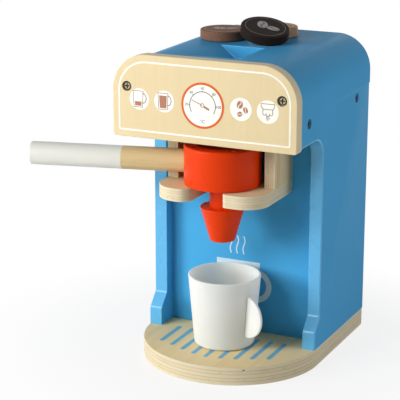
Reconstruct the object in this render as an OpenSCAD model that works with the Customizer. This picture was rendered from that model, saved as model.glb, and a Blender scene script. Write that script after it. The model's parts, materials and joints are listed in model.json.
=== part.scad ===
// Toy espresso machine of painted plywood, in millimetres.
// +X is the machine's right as a child faces it, +Y points to its back, +Z is up.
// The origin lies on the table, under the middle of the base board.

/* [Body] */
// Width over the two side panels
body_w = 150; // [146:1:165]
// Thickness of each side panel
side_t = 11; // [9:0.5:13]
// Depth of the columns, from their front edge to the back of the body
column_d = 105.5; // [95:0.5:125]
// Height of the cup bay, from the base board to the underside of the hood
bay_h = 176.5; // [165:0.5:200]
// Height of the hood part of the side panels, up to the roof seam
hood_h = 24.5; // [21:0.5:35]
// Reach of the hood in front of the columns
hood_reach = 54.5; // [51:0.5:65]
// Radius of the inner corner between hood and column
hood_fillet_r = 16; // [6:1:20]

/* [Column feet] */
// Reach of each column foot in front of its column
foot_reach = 10.7; // [6:0.1:14]
// Height of the upright front of each foot
foot_h = 15; // [10:0.5:25]
// Height of the slope between foot and column
foot_slope_h = 11.5; // [9:0.5:20]
// Radius that eases both ends of the slope
foot_round_r = 5; // [2:0.5:8]

/* [Base board] */
// Thickness of the base board
base_t = 15; // [12:0.5:20]
// Reach of the base board in front of the columns
base_reach = 78.5; // [76:0.5:90]
// Radius of the two rear corners
base_corner_r = 3; // [1:0.5:8]

/* [Inner boards] */
// Distance of the splash panel behind the front of the columns
splash_recess = 10.5; // [6:0.5:15]
// Thickness of the splash panel
splash_t = 9; // [6:0.5:12]
// Thickness of the rear panel
rear_t = 9; // [6:0.5:12]
// Thickness of the deck board that carries the roof and the cheeks
deck_t = 15; // [12:0.5:18]

/* [Roof] */
// Height of the roof above its seam
roof_h = 40; // [36:1:55]
// Wall of the hollow roof
roof_t = 15; // [14:0.5:17]
// Outer radius of the shoulders
roof_r = 29; // [20:1:34]
// Overhang of the roof behind the body
roof_overhang = 2; // [0:0.5:4]
// Thickness of the roof's back wall
roof_back_t = 12; // [8:1:16]

/* [Hopper] */
// Width of the hopper mouth
hopper_w = 38; // [30:1:50]
// Length of the hopper mouth, front to back
hopper_l = 50; // [45:1:55]
// Depth of the hopper
hopper_depth = 9; // [6:0.5:11]
// Width of the hopper floor
hopper_floor_w = 9; // [6:0.5:16]
// Length of the hopper floor
hopper_floor_l = 40; // [30:1:44]
// Distance of the hopper mouth behind the front panel
hopper_set_back = 15; // [10:1:18]

/* [Front panel] */
// Thickness of the front panel
panel_t = 10; // [8:0.5:12]
// How far the panel stands out beside the body
panel_side_lip = 3.3; // [1:0.1:6]
// How far the panel stands up above the roof
panel_top_lip = 2; // [0:0.5:5]
// Radius of the panel's upper corners
panel_r = 29.5; // [20:0.5:34]
// Radius of the panel's lower corners
panel_foot_r = 2.5; // [1:0.5:5]
// Height of the panel screws above the roof seam
panel_screw_up = 16; // [10:0.5:20]

/* [Filter holder] */
// Diameter of the filter puck
puck_d = 62.3; // [56:0.1:66]
// Height of the filter puck
puck_h = 32.5; // [30:0.5:38]
// Rounding of the puck's edges
puck_edge_r = 1.5; // [0.5:0.5:3]
// Depth of the seat for a coffee disc in the puck
seat_depth = 9; // [6:0.5:10]
// Play around a coffee disc in its seat
seat_play = 1; // [0.5:0.1:2]
// Diameter of the spout neck
neck_d = 21.3; // [18:0.1:24]
// Length of the spout neck below the fork's upper face
neck_l = 18.5; // [16:0.5:24]
// Diameter of the cone at its top
cone_top_d = 36.1; // [34:0.1:42]
// Diameter of the cone at its tip
cone_tip_d = 20.8; // [12:0.1:26]
// Height of the cone
cone_h = 28.3; // [20:0.1:36]
// Rounding of the cone's edges
cone_edge_r = 0.8; // [0.2:0.1:1.5]
// Diameter of the tenon that joins spout and puck
tenon_d = 14; // [10:0.5:16]
// Length of the tenon that joins spout and puck
tenon_l = 8; // [6:0.5:10]

/* [Handle] */
// Diameter of the handle dowel
handle_d = 19; // [16:0.5:20]
// Length of the handle outside the puck
handle_l = 129; // [90:1:150]
// Depth of the handle's socket in the puck
handle_seat = 8; // [6:0.5:9]
// Height of the handle above the middle of the puck
handle_up = 1; // [0:0.1:1.5]
// Rounding of the handle's free end
handle_end_r = 3; // [1:0.5:6]
// How far the handle points forward of straight left, in degrees
handle_angle = 14; // [12:0.5:20]

/* [Fork and cheeks] */
// Thickness of the fork
fork_t = 10.8; // [9:0.1:14]
// Reach of the fork in front of the splash panel
fork_d = 68; // [64:0.5:76]
// Radius of the fork's outer corners
fork_r = 20; // [10:0.5:22]
// How far the fork and the cheeks sit left of the filter holder's middle
fork_aside = 2; // [0:0.1:3]
// Radius of the left prong's tip beside the slot
left_tip_r = 9.5; // [2:0.5:10]
// Radius of the right prong's tip beside the slot
right_tip_r = 4; // [2:0.5:10]
// Play between the spout neck and the slot, on each side
slot_gap = 4.1; // [2:0.1:5]
// Thickness of each cheek
cheek_t = 9; // [8:0.5:11]
// Gap between the resting handle and the front of the left cheek
cheek_stop_gap = 0.7; // [0.4:0.1:3]
// Play between the puck and each cheek
cheek_gap = 6.85; // [4:0.05:8]
// Play between the puck and the splash panel
brew_gap = 6.35; // [3:0.05:8]
// Head room between the puck and the deck board
head_room = 16.7; // [13:0.1:20]

/* [Cup] */
// Outer diameter of the rim
cup_rim_d = 59.6; // [50:0.1:64]
// Outer diameter of the foot
cup_foot_d = 49.4; // [40:0.1:54]
// Height of the cup
cup_h = 59.2; // [45:0.1:65]
// Wall of the cup
cup_wall = 2; // [1.5:0.1:3]
// Thickness of the cup's floor
cup_floor_t = 3.5; // [2:0.5:6]
// Rounding of the cup's foot
cup_foot_r = 3; // [1:0.5:4]
// Distance of the rim in front of the splash panel
cup_gap = 3.1; // [2:0.1:6]
// Radius of the half-moon ear
ear_r = 17.5; // [14:0.5:22]
// Thickness of the ear
ear_t = 2.5; // [2:0.5:6]
// Height of the ear's middle above the cup's foot
ear_up = 29; // [24:0.5:33]
// Direction of the ear, in degrees to the right of straight forward
ear_angle = 66; // [40:1:80]

/* [Coffee discs] */
// Diameter of a coffee disc
disc_d = 40; // [36:0.5:43]
// Thickness of a coffee disc
disc_t = 8; // [7:0.5:9]
// Rounding of a disc's edges
disc_edge_r = 1.2; // [0.4:0.1:2]
// Tilt of the dark disc that leans on the tan one, in degrees
lean = 16.5; // [14:0.5:18]
// Direction in which the dark disc leans down, in degrees from straight right
lean_turn = -43.5; // [-60:0.5:-30]
// Place of the dark disc, to the right of the middle
dark_x = 8.6; // [0:0.1:12]
// Distance of the dark disc behind the hopper mouth
dark_set_back = 3.3; // [1:0.1:6]

/* [Fasteners] */
// Diameter of a screw head
screw_head_d = 6.6; // [6:0.1:7]
// Height of a screw head
screw_head_h = 2.2; // [1.8:0.1:2.6]
// Diameter of a screw shank
screw_shank_d = 3.4; // [2.8:0.1:3.6]
// Diameter of the counterbore round a screw head
counterbore_d = 8.2; // [7.8:0.1:9]
// Depth of a counterbore
counterbore_depth = 3.2; // [3:0.1:4]
// Length of a side screw past its panel
side_screw_grip = 20; // [14:1:24]
// Length of a panel screw past the front panel
panel_screw_grip = 18; // [12:1:20]
// Length of a base screw past the base board
base_screw_grip = 18; // [12:1:24]
// Length of a fork screw past the splash panel
fork_screw_grip = 16; // [12:1:20]
// Distance of the front side screws behind the front panel
side_screw_set_back = 23.5; // [18:0.5:30]
// Distance of the rear side screws from the back
side_screw_set_in = 30.5; // [24:0.5:36]
// Distance of the base screws from each end of a side panel
base_screw_set_in = 16; // [12:1:20]
// Diameter of the glued dowel pins
pin_d = 5; // [4:0.5:6]
// Length of the pins in the cheeks
cheek_pin_l = 14; // [10:1:16]
// Length of the pins between side panels and roof
roof_pin_l = 24; // [16:1:30]
// Length of the pins between deck board and rear panel
rear_pin_l = 20; // [14:1:24]

/* [Hidden] */
// Gap under a loose piece at rest
rest_gap = 0.3;
// Gap round a glued pin or tenon
glue_gap = 0.1;
// Gap round a turning tenon
turn_gap = 0.2;
// Extra length of a cut past the face that it opens
cut = 1;

// Heights
hood_z = base_t + bay_h;
seam_z = hood_z + hood_h;
roof_z = seam_z + roof_h;
deck_z = seam_z - deck_t;
puck_top_z = deck_z - head_room;
puck_z = puck_top_z - puck_h;
fork_z = puck_z - rest_gap;
cone_top_z = fork_z - neck_l;
handle_z = puck_z + puck_h / 2 + handle_up;
cup_z = base_t + rest_gap;

// Places along the depth
base_d = base_reach + column_d;
back_y = base_d / 2;
column_y = back_y - column_d;
foot_y = column_y - foot_reach;
panel_back_y = column_y - hood_reach;
panel_y = panel_back_y - panel_t;
splash_y = column_y + splash_recess;
splash_back_y = splash_y + splash_t;
rear_y = back_y - rear_t;
roof_back_y = back_y + roof_overhang;
fork_y = splash_y - fork_d;
brew_y = splash_y - brew_gap - puck_d / 2;
cup_y = splash_y - cup_gap - cup_rim_d / 2;
arc_y = body_w / 2 - base_d / 2;
hopper_y = panel_back_y + hopper_set_back + hopper_l / 2;

// Widths
inner_w = body_w - 2 * side_t;
slot_w = neck_d + 2 * slot_gap;
cheek_x = puck_d / 2 + cheek_gap;
fork_w = 2 * (cheek_x + cheek_t);
panel_w = body_w + 2 * panel_side_lip;
panel_h = roof_z + panel_top_lip - hood_z;
cup_slope = atan((cup_rim_d - cup_foot_d) / 2 / cup_h);

// The cheeks end just behind the resting handle
stop_x = cheek_x + fork_aside;
cheek_y = brew_y - stop_x * tan(handle_angle) + handle_d / 2 / cos(handle_angle) + cheek_stop_gap;
cheek_d = splash_y - cheek_y;

// Fasteners: rows of screws and pins
side_screw_l = side_t + side_screw_grip;
side_screw_z = seam_z - deck_t / 2;
side_screw_ys = [panel_back_y + side_screw_set_back, back_y - side_screw_set_in];
panel_screw_l = panel_t + panel_screw_grip;
panel_screw_x = body_w / 2 - roof_t * 0.62;
panel_screw_z = seam_z + panel_screw_up;
base_screw_l = base_t + base_screw_grip;
base_screw_ys = [column_y + base_screw_set_in, back_y - base_screw_set_in];
board_screw_x = inner_w / 3;
fork_screw_l = splash_t + fork_screw_grip;
fork_screw_x = cheek_x - counterbore_d / 2;
cheek_pin_ys = [cheek_y + cheek_d * 0.28, cheek_y + cheek_d * 0.75];
roof_pin_ys = [column_y - counterbore_d, back_y - base_screw_set_in];
rear_pin_x = inner_w / 3;

// Coffee discs: the dark disc leans on the tan one and stands on the roof
disc_seat_z = roof_z + rest_gap;
dark_z = disc_seat_z + disc_d / 2 * sin(lean);
dark_y = hopper_y + hopper_l / 2 + dark_set_back + disc_d / 2;
lean_reach = (disc_t + rest_gap - disc_d / 2 * sin(lean)) / tan(lean) + disc_d / 2;
lean_aside = disc_d * 0.53;
tan_x = dark_x - lean_reach * cos(lean_turn) - lean_aside * sin(lean_turn);
tan_y = dark_y - lean_reach * sin(lean_turn) + lean_aside * cos(lean_turn);
brown_x = dark_x - disc_d * 0.945;
brown_y = dark_y + disc_d * 0.125;

$fn = 96;
arc_steps = 10;

// Points of an arc about [x, y], from angle a0 to angle a1
function arc(x, y, r, a0, a1) =
    [for (i = [0:arc_steps]) let (a = a0 + (a1 - a0) * i / arc_steps) [x + r * cos(a), y + r * sin(a)]];

// A flat outline in X and Z, made solid from y0 to y1
module board_xz(y0, y1) {
    translate([0, y1, 0]) rotate([90, 0, 0]) linear_extrude(y1 - y0) children();
}

// A flat outline in Y and Z, made solid from x0 to x1
module board_yz(x0, x1) {
    translate([x0, 0, 0]) rotate([90, 0, 90]) linear_extrude(x1 - x0) children();
}

// An outline that stands on the X axis, with two round upper corners
module arched_outline(w, h, r) {
    intersection() {
        translate([-w / 2, 0]) square([w, h]);
        union() {
            translate([-w / 2, 0]) square([w, h - r]);
            translate([r - w / 2, 0]) square([w - 2 * r, h]);
            for (side = [-1, 1]) translate([side * (w / 2 - r), h - r]) circle(r);
        }
    }
}

// Half of a turned disc's section, with rounded edges
module turned_section(r, h, edge_r) {
    square([r - edge_r, h]);
    translate([0, edge_r]) square([r, h - 2 * edge_r]);
    translate([r - edge_r, edge_r]) circle(edge_r);
    translate([r - edge_r, h - edge_r]) circle(edge_r);
}

// What rounding takes away from a square corner that lies at the origin
module corner_waste(r) {
    difference() {
        translate([-cut, -cut]) square(r + cut);
        translate([r, r]) circle(r);
    }
}

// A pan-head screw with its head's top at the origin, pointing up
module pan_screw(l) {
    cross_w = screw_head_d * 0.16;
    cross_l = screw_head_d * 0.62;
    difference() {
        union() {
            translate([0, 0, -screw_head_h]) cylinder(h = screw_head_h * 0.55, d = screw_head_d);
            translate([0, 0, -screw_head_h * 0.45])
                cylinder(h = screw_head_h * 0.45, d1 = screw_head_d, d2 = screw_head_d * 0.72);
            translate([0, 0, -l]) cylinder(h = l - screw_head_h / 2, d = screw_shank_d);
        }
        for (turn = [0, 90])
            rotate([0, 0, turn]) translate([-cross_l / 2, -cross_w / 2, -screw_head_h * 0.6])
                cube([cross_l, cross_w, screw_head_h]);
    }
}

// A pan-head screw, sunk to the floor of its counterbore
module sunk_screw(l) {
    translate([0, 0, screw_head_h - counterbore_depth]) pan_screw(l);
}

// The counterbore and hole for a sunk screw whose board's face is at the origin
module screw_cut(l) {
    translate([0, 0, -counterbore_depth]) cylinder(h = counterbore_depth + cut, d = counterbore_d);
    translate([0, 0, -l - counterbore_depth]) cylinder(h = l + cut, d = screw_shank_d + 2 * glue_gap);
}

module at_panel_screws() {
    for (side = [-1, 1])
        translate([side * panel_screw_x, panel_y, panel_screw_z]) rotate([90, 0, 0]) children();
}

module at_side_screws() {
    for (side = [-1, 1], y = side_screw_ys)
        translate([side * body_w / 2, y, side_screw_z]) rotate([0, side * 90, 0]) children();
}

// Base screws: two up into each upright board
module at_base_screws() {
    for (side = [-1, 1]) {
        for (y = base_screw_ys)
            translate([side * (body_w - side_t) / 2, y, 0]) rotate([180, 0, 0]) children();
        for (y = [splash_y + splash_t / 2, back_y - rear_t / 2])
            translate([side * board_screw_x, y, 0]) rotate([180, 0, 0]) children();
    }
}

module at_fork_screws() {
    for (side = [-1, 1])
        translate([side * fork_screw_x - fork_aside, splash_back_y, fork_z - fork_t / 2])
            rotate([-90, 0, 0]) children();
}

module at_cheek_pins() {
    for (side = [-1, 1], y = cheek_pin_ys, z = [fork_z, deck_z])
        translate([side * (fork_w - cheek_t) / 2 - fork_aside, y, z]) children();
}

module at_roof_pins() {
    for (side = [-1, 1], y = roof_pin_ys)
        translate([side * (body_w - side_t) / 2, y, seam_z]) children();
}

module at_rear_pins() {
    for (side = [-1, 1])
        translate([side * rear_pin_x, rear_y - rear_pin_l / 2 + rear_t * 0.6, side_screw_z])
            rotate([90, 0, 0]) children();
}

// A glued pin centred on its joint
module pin(l) {
    cylinder(h = l, d = pin_d, center = true);
}

// The hole for a glued pin, a little longer than the pin
module pin_cut(l) {
    cylinder(h = l + cut, d = pin_d + 2 * glue_gap, center = true);
}

// Base board: half-round front, square back with eased corners
module base_board() {
    color("burlywood") difference() {
        linear_extrude(base_t) {
            translate([0, arc_y]) circle(d = body_w);
            translate([-body_w / 2, arc_y]) square([body_w, back_y - base_corner_r - arc_y]);
            translate([base_corner_r - body_w / 2, arc_y])
                square([body_w - 2 * base_corner_r, back_y - arc_y]);
            for (side = [-1, 1])
                translate([side * (body_w / 2 - base_corner_r), back_y - base_corner_r])
                    circle(base_corner_r);
        }
        at_base_screws() screw_cut(base_screw_l);
    }
}

// Outline of a foot: an upright front and a slope up to the column, eased at both ends
module foot_outline() {
    turn = atan(foot_reach / foot_slope_h);
    ease = foot_round_r * tan(turn / 2);
    heel_z = base_t + foot_h;
    waist_z = heel_z + foot_slope_h;
    polygon(concat(
        [[foot_y, base_t], [column_y + cut, base_t], [column_y + cut, waist_z + ease]],
        arc(column_y - foot_round_r, waist_z + ease, foot_round_r, 0, -turn),
        arc(foot_y + foot_round_r, heel_z - ease, foot_round_r, 180 - turn, 180)));
}

// Outline of a side panel: column and hood with a round inner corner, and the foot
module side_outline() {
    translate([column_y, base_t]) square([column_d, seam_z - base_t]);
    translate([panel_back_y, hood_z]) square([hood_reach + cut, hood_h]);
    translate([column_y, hood_z]) rotate(180) corner_waste(hood_fillet_r);
    foot_outline();
}

module side_panel_right() {
    color("deepskyblue") difference() {
        board_yz(inner_w / 2, body_w / 2) side_outline();
        at_side_screws() screw_cut(side_screw_l);
        at_base_screws() screw_cut(base_screw_l);
        at_roof_pins() pin_cut(roof_pin_l);
    }
}

module side_panel_left() {
    mirror([1, 0, 0]) side_panel_right();
}

module splash_panel() {
    color("deepskyblue") difference() {
        translate([-inner_w / 2, splash_y, base_t]) cube([inner_w, splash_t, deck_z - base_t]);
        at_fork_screws() screw_cut(fork_screw_l);
        at_base_screws() screw_cut(base_screw_l);
    }
}

module rear_panel() {
    color("deepskyblue") difference() {
        translate([-inner_w / 2, rear_y, base_t]) cube([inner_w, rear_t, seam_z - base_t]);
        at_rear_pins() pin_cut(rear_pin_l);
        at_base_screws() screw_cut(base_screw_l);
    }
}

module deck_board() {
    color("burlywood") difference() {
        translate([-inner_w / 2, panel_back_y, deck_z])
            cube([inner_w, rear_y - panel_back_y, deck_t]);
        at_side_screws() screw_cut(side_screw_l);
        at_rear_pins() pin_cut(rear_pin_l);
        at_cheek_pins() pin_cut(cheek_pin_l);
    }
}

// The hopper's hollow: four sloping sides down to a narrow floor
module hopper_hollow() {
    mouth = [hopper_w / 2, hopper_l / 2];
    bottom = [hopper_floor_w / 2, hopper_floor_l / 2];
    // Carried on past the roof's face at the same slope, so that the cut opens cleanly
    grow = 1 + cut / hopper_depth;
    past = [bottom.x + (mouth.x - bottom.x) * grow, bottom.y + (mouth.y - bottom.y) * grow];
    floor_z = roof_z - hopper_depth;
    corners = [[-1, -1], [1, -1], [1, 1], [-1, 1]];
    polyhedron(
        points = concat(
            [for (c = corners) [c.x * bottom.x, hopper_y + c.y * bottom.y, floor_z]],
            [for (c = corners) [c.x * past.x, hopper_y + c.y * past.y, roof_z + cut]]),
        faces = [[0, 1, 2, 3], [7, 6, 5, 4], [0, 4, 5, 1], [1, 5, 6, 2], [2, 6, 7, 3], [3, 7, 4, 0]]);
}

// Roof: a block with round shoulders, hollowed from the front and from below
module roof() {
    color("deepskyblue") difference() {
        board_xz(panel_back_y, roof_back_y) translate([0, seam_z])
            arched_outline(body_w, roof_h, roof_r);
        board_xz(panel_back_y - cut, roof_back_y - roof_back_t) translate([0, seam_z - cut])
            arched_outline(body_w - 2 * roof_t, roof_h - roof_t + cut, roof_r - roof_t);
        hopper_hollow();
        at_roof_pins() pin_cut(roof_pin_l);
        at_panel_screws() screw_cut(panel_screw_l);
    }
}

module front_panel() {
    color("wheat") difference() {
        board_xz(panel_y, panel_back_y) translate([0, hood_z]) difference() {
            arched_outline(panel_w, panel_h, panel_r);
            for (side = [0, 1])
                mirror([side, 0]) translate([-panel_w / 2, 0]) corner_waste(panel_foot_r);
        }
        at_panel_screws() screw_cut(panel_screw_l);
    }
}

// Fork: the plate with a slot that the spout's neck slides into
module fork_plate() {
    color("wheat") difference() {
        translate([-fork_aside, 0, fork_z - fork_t]) linear_extrude(fork_t) difference() {
            translate([-fork_w / 2, fork_y]) square([fork_w, fork_d]);
            translate([-slot_w / 2, fork_y - cut]) square([slot_w, brew_y - fork_y + cut]);
            translate([0, brew_y]) circle(d = slot_w);
            for (side = [0, 1]) mirror([side, 0]) {
                translate([-fork_w / 2, fork_y]) corner_waste(fork_r);
                translate([slot_w / 2, fork_y]) corner_waste(side == 0 ? right_tip_r : left_tip_r);
            }
        }
        at_cheek_pins() pin_cut(cheek_pin_l);
        at_fork_screws() screw_cut(fork_screw_l);
    }
}

// A cheek, from its inner face at x0
module cheek(x0) {
    color("wheat") difference() {
        translate([x0, cheek_y, fork_z]) cube([cheek_t, cheek_d, deck_z - fork_z]);
        at_cheek_pins() pin_cut(cheek_pin_l);
    }
}

module cheek_right() {
    cheek(cheek_x - fork_aside);
}

module cheek_left() {
    cheek(-cheek_x - cheek_t - fork_aside);
}

module cheek_pins() {
    color("tan") at_cheek_pins() pin(cheek_pin_l);
}

module roof_pins() {
    color("tan") at_roof_pins() pin(roof_pin_l);
}

module rear_pins() {
    color("tan") at_rear_pins() pin(rear_pin_l);
}

module panel_screws() {
    color("silver") at_panel_screws() sunk_screw(panel_screw_l);
}

module side_screws() {
    color("dimgray") at_side_screws() sunk_screw(side_screw_l);
}

module base_screws() {
    color("silver") at_base_screws() sunk_screw(base_screw_l);
}

module fork_screws() {
    color("silver") at_fork_screws() sunk_screw(fork_screw_l);
}

// Spout: cone, neck and the tenon that goes up into the puck
module spout() {
    tip_r = cone_tip_d / 2;
    top_r = cone_top_d / 2;
    e = cone_edge_r;
    color("orangered") translate([0, brew_y, cone_top_z - cone_h]) rotate_extrude()
        polygon(concat(
            [[0, 0]],
            arc(tip_r - e, e, e, -90, 0),
            arc(top_r - e, cone_h - e, e, 0, 90),
            [[neck_d / 2, cone_h], [neck_d / 2, cone_h + neck_l], [tenon_d / 2, cone_h + neck_l],
             [tenon_d / 2, cone_h + neck_l + tenon_l], [0, cone_h + neck_l + tenon_l]]));
}

// Carries what follows to the handle's axis, which then runs along +X
module at_handle() {
    translate([0, brew_y, handle_z]) rotate([0, 0, 180 + handle_angle]) rotate([0, 90, 0]) children();
}

// Filter puck: a turned block with a seat for a coffee disc in its top
module filter_puck() {
    color("orangered") difference() {
        translate([0, brew_y, puck_z]) difference() {
            rotate_extrude() turned_section(puck_d / 2, puck_h, puck_edge_r);
            translate([0, 0, puck_h - seat_depth])
                cylinder(h = seat_depth + cut, d = disc_d + 2 * seat_play);
            translate([0, 0, -cut]) cylinder(h = tenon_l + 2 * cut, d = tenon_d + 2 * turn_gap);
        }
        at_handle() translate([0, 0, puck_d / 2 - handle_seat])
            cylinder(h = handle_seat + cut, d = handle_d + 2 * glue_gap);
    }
}

module handle() {
    l = handle_l + handle_seat;
    color("burlywood") at_handle() translate([0, 0, puck_d / 2 - handle_seat + glue_gap])
        rotate_extrude() {
            square([handle_d / 2, l - handle_end_r - glue_gap]);
            square([handle_d / 2 - handle_end_r, l - glue_gap]);
            translate([handle_d / 2 - handle_end_r, l - handle_end_r - glue_gap])
                circle(handle_end_r);
        }
}

// Radius of the cup at a height above its foot, inset square to its slope
function cup_r(h, inset) = cup_foot_d / 2 + h * tan(cup_slope) - inset / cos(cup_slope);

module cup_body() {
    rim_r = cup_wall / 2;
    rim_h = cup_h - rim_r;
    color("white") translate([0, cup_y, cup_z]) rotate_extrude()
        polygon(concat(
            [[0, 0]],
            arc(cup_r(cup_foot_r, cup_foot_r), cup_foot_r, cup_foot_r, -90, -cup_slope),
            arc(cup_r(rim_h, rim_r), rim_h, rim_r, -cup_slope, 180 - cup_slope),
            [[cup_r(cup_floor_t, cup_wall), cup_floor_t], [0, cup_floor_t]]));
}

// Ear of the cup: a flat half moon, cut to sit on the cup's slope
module cup_ear() {
    color("white") translate([0, cup_y, cup_z]) difference() {
        rotate([0, 0, ear_angle - 90])
            translate([cup_r(ear_up, 0), 0, ear_up]) rotate([90, 0, 0])
                cylinder(h = ear_t, r = ear_r, center = true);
        cylinder(h = cup_h, d1 = cup_foot_d, d2 = cup_rim_d);
    }
}

module coffee_disc() {
    rotate_extrude() turned_section(disc_d / 2, disc_t, disc_edge_r);
}

module disc_brown() {
    color("rosybrown") translate([brown_x, brown_y, disc_seat_z]) coffee_disc();
}

module disc_tan() {
    color("tan") translate([tan_x, tan_y, disc_seat_z]) coffee_disc();
}

// The dark disc: its edge stands on the roof in front, its underside rests on the tan disc
module disc_dark() {
    color("dimgray") translate([dark_x, dark_y, dark_z])
        rotate([0, 0, lean_turn]) rotate([0, lean, 0]) coffee_disc();
}

base_board();
side_panel_left();
side_panel_right();
splash_panel();
rear_panel();
deck_board();
roof();
front_panel();
fork_plate();
cheek_left();
cheek_right();
cheek_pins();
roof_pins();
rear_pins();
panel_screws();
side_screws();
base_screws();
fork_screws();
spout();
filter_puck();
handle();
cup_body();
cup_ear();
disc_brown();
disc_dark();
disc_tan();
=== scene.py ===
"""Looks of a toy espresso machine: painted and natural plywood, turned wood, printed signs."""

import json
import math

import bmesh
import bpy
from mathutils import Matrix, Vector


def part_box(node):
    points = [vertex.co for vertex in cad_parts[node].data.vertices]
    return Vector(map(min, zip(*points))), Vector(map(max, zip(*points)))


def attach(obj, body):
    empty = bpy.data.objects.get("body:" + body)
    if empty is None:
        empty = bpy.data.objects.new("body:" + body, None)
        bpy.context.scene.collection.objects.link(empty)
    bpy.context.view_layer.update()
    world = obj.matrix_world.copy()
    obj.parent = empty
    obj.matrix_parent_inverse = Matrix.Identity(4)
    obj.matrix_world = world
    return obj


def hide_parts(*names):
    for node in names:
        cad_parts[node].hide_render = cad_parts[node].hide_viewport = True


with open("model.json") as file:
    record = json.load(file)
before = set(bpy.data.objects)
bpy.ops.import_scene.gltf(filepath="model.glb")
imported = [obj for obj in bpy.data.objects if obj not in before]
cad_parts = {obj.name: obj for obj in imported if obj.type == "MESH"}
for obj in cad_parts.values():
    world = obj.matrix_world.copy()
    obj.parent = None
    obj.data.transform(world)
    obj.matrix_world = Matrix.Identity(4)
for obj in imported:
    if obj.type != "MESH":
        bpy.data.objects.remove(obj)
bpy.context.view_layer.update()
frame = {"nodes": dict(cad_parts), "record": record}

MM = 0.001

# Places that the frame gives, in metres
nodes = frame["nodes"]
panel_lo, panel_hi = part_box("front_panel")
base_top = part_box("base_board")[1].z
splash_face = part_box("splash_panel")[0].y
roof_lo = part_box("roof")[0]
puck_lo, puck_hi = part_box("filter_puck")
puck_middle = (puck_lo + puck_hi) / 2
disc_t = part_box("disc_brown")[1].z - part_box("disc_brown")[0].z

# Camera, as solved from the photograph: degrees, and mm
CAMERA_AZIMUTH = 25.57
CAMERA_ELEVATION = 15.99
CAMERA_PLACE = (492.18, -1111.18, 475.34)
CAMERA_LENS = 137.52
CAMERA_SENSOR = 36.0

# Square lamps: degrees, metres and watts. Azimuth 0 is in front of the machine, and grows to its right
LAMPS = {
    "key": dict(azimuth=-48, elevation=12, distance=1.4, size=0.5, watts=12.9),
    "front": dict(azimuth=-25, elevation=28, distance=1.4, size=0.45, watts=7),
    "side": dict(azimuth=92, elevation=14, distance=1.4, size=0.7, watts=4.8),
    "back": dict(azimuth=180, elevation=10, distance=1.6, size=0.8, watts=5),
}
LAMP_AIM = Vector((0, 0, 0.14))
AMBIENT = 0.12

# The floor's half side, in metres, and the grey level of its colour. Where it is seen, it is this
# share plain white close to the machine, and all white from the second distance on
FLOOR_HALF = 6.0
FLOOR_LEVEL = 0.88
WHITE_SHARE = 0.82
FADE_NEAR, FADE_FAR = 0.09, 0.27


def srgb(r, g, b):
    """Linear colour of an 8-bit display colour."""
    def linear(c):
        c /= 255
        return c / 12.92 if c <= 0.04045 else ((c + 0.055) / 1.055) ** 2.4
    return (linear(r), linear(g), linear(b), 1.0)


# Paints and stains
BLUE = srgb(77, 170, 224)
# A glossier blue that is also lighter, a painted highlight, for eased edges and forward faces
BLUE_GLOSS_AND_HIGHLIGHT = srgb(94, 182, 232)
ORANGE = srgb(226, 60, 4)
CUP_WHITES = srgb(237, 237, 228), srgb(242, 242, 233)
GRIP_WHITES = srgb(222, 221, 212), srgb(232, 231, 222)
DISC_STAINS = {
    "disc_brown": ("brown_board", srgb(122, 90, 74)),
    "disc_dark": ("dark_board", srgb(42, 34, 31)),
    "disc_tan": ("tan_board", srgb(172, 136, 104)),
}

# Woods: the pale and the dark of each grain
PLY_FACE = srgb(234, 214, 172), srgb(226, 203, 158)
PANEL_FACE = srgb(227, 208, 164), srgb(224, 203, 158)
BASE_FACE = srgb(238, 216, 166), srgb(228, 202, 148)
CHEEK_FACE = srgb(226, 202, 158), srgb(196, 164, 116)
PIN_BEECH = srgb(214, 184, 136), srgb(176, 140, 92)
HANDLE_BEECH = srgb(216, 190, 140), srgb(172, 140, 92)
PLY_GLUE = srgb(142, 114, 78)
PLY_END = srgb(214, 194, 154)
PLY_RIM = srgb(222, 211, 180)
# the painted shade of a small void in the base board's edge
PIT_PAINTED_SHADE = srgb(78, 50, 28)

# Layers of plywood: how much they waver, the end grain's share of every second ply, and the glue,
# whose line starts and is full this far from a ply's middle, but isn't in the outer plies' margin
PLY_WAVER = 0.5 * MM
CORE_SHARE = 0.55
GLUE_FROM, GLUE_TO, GLUE_MARGIN = 0.43, 0.48, 0.4

# A small void in the base board's front edge, its shade painted dark brown: its place, and the radii of
# its core and its rim
BASE_PIT = (37.8 * MM, 12.9 * MM)
PIT_CORE, PIT_RIM = 0.6 * MM, 1.2 * MM

# Metals
BRIGHT_STEEL = srgb(176, 170, 156)
DARK_STEEL = srgb(84, 78, 74)
BRASS_DARK, BRASS_PALE = srgb(120, 112, 92), srgb(186, 180, 158)
# Painted shade: the screw heads' cross recess is painted dark brown below the face, in place of its
# shade
RECESS_PAINTED_SHADE = srgb(34, 27, 22)
RECESS_FROM, RECESS_TO = 0.15 * MM, 0.6 * MM        # depths between which the recess darkens

# Printing inks
WHITE_INK = srgb(250, 248, 240)
WOOD_UNDER_INK = srgb(240, 226, 196)
INK_COLORS = {
    "frost": srgb(206, 226, 234),
    "steam": srgb(214, 236, 250),
    "orange": srgb(222, 102, 42),
    "brown": srgb(178, 126, 100),
    "line": srgb(150, 120, 104),
    "dark": srgb(70, 66, 68),
    "stripe": srgb(112, 178, 208),
    "pale": srgb(170, 164, 158),
    "ash": srgb(112, 105, 98),
    "fawn": srgb(168, 138, 118),
    "cream": srgb(214, 188, 158),
}

# The handle points to the left and this far to the front. Its paint starts this far from the puck's
# axis, with an edge this ragged, and covers fully a little further on
HANDLE_ANGLE = math.radians(14)
GRIP_START = 81.8 * MM
GRIP_RAGGED = 0.3 * MM
GRIP_FADE = 0.15 * MM

# Grain that shows through the paint: waves per metre along each axis, on boards and on turned wood
BOARD_WAVES = (60, 60, 6)
TURNED_WAVES = (40, 40, 40)

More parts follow.
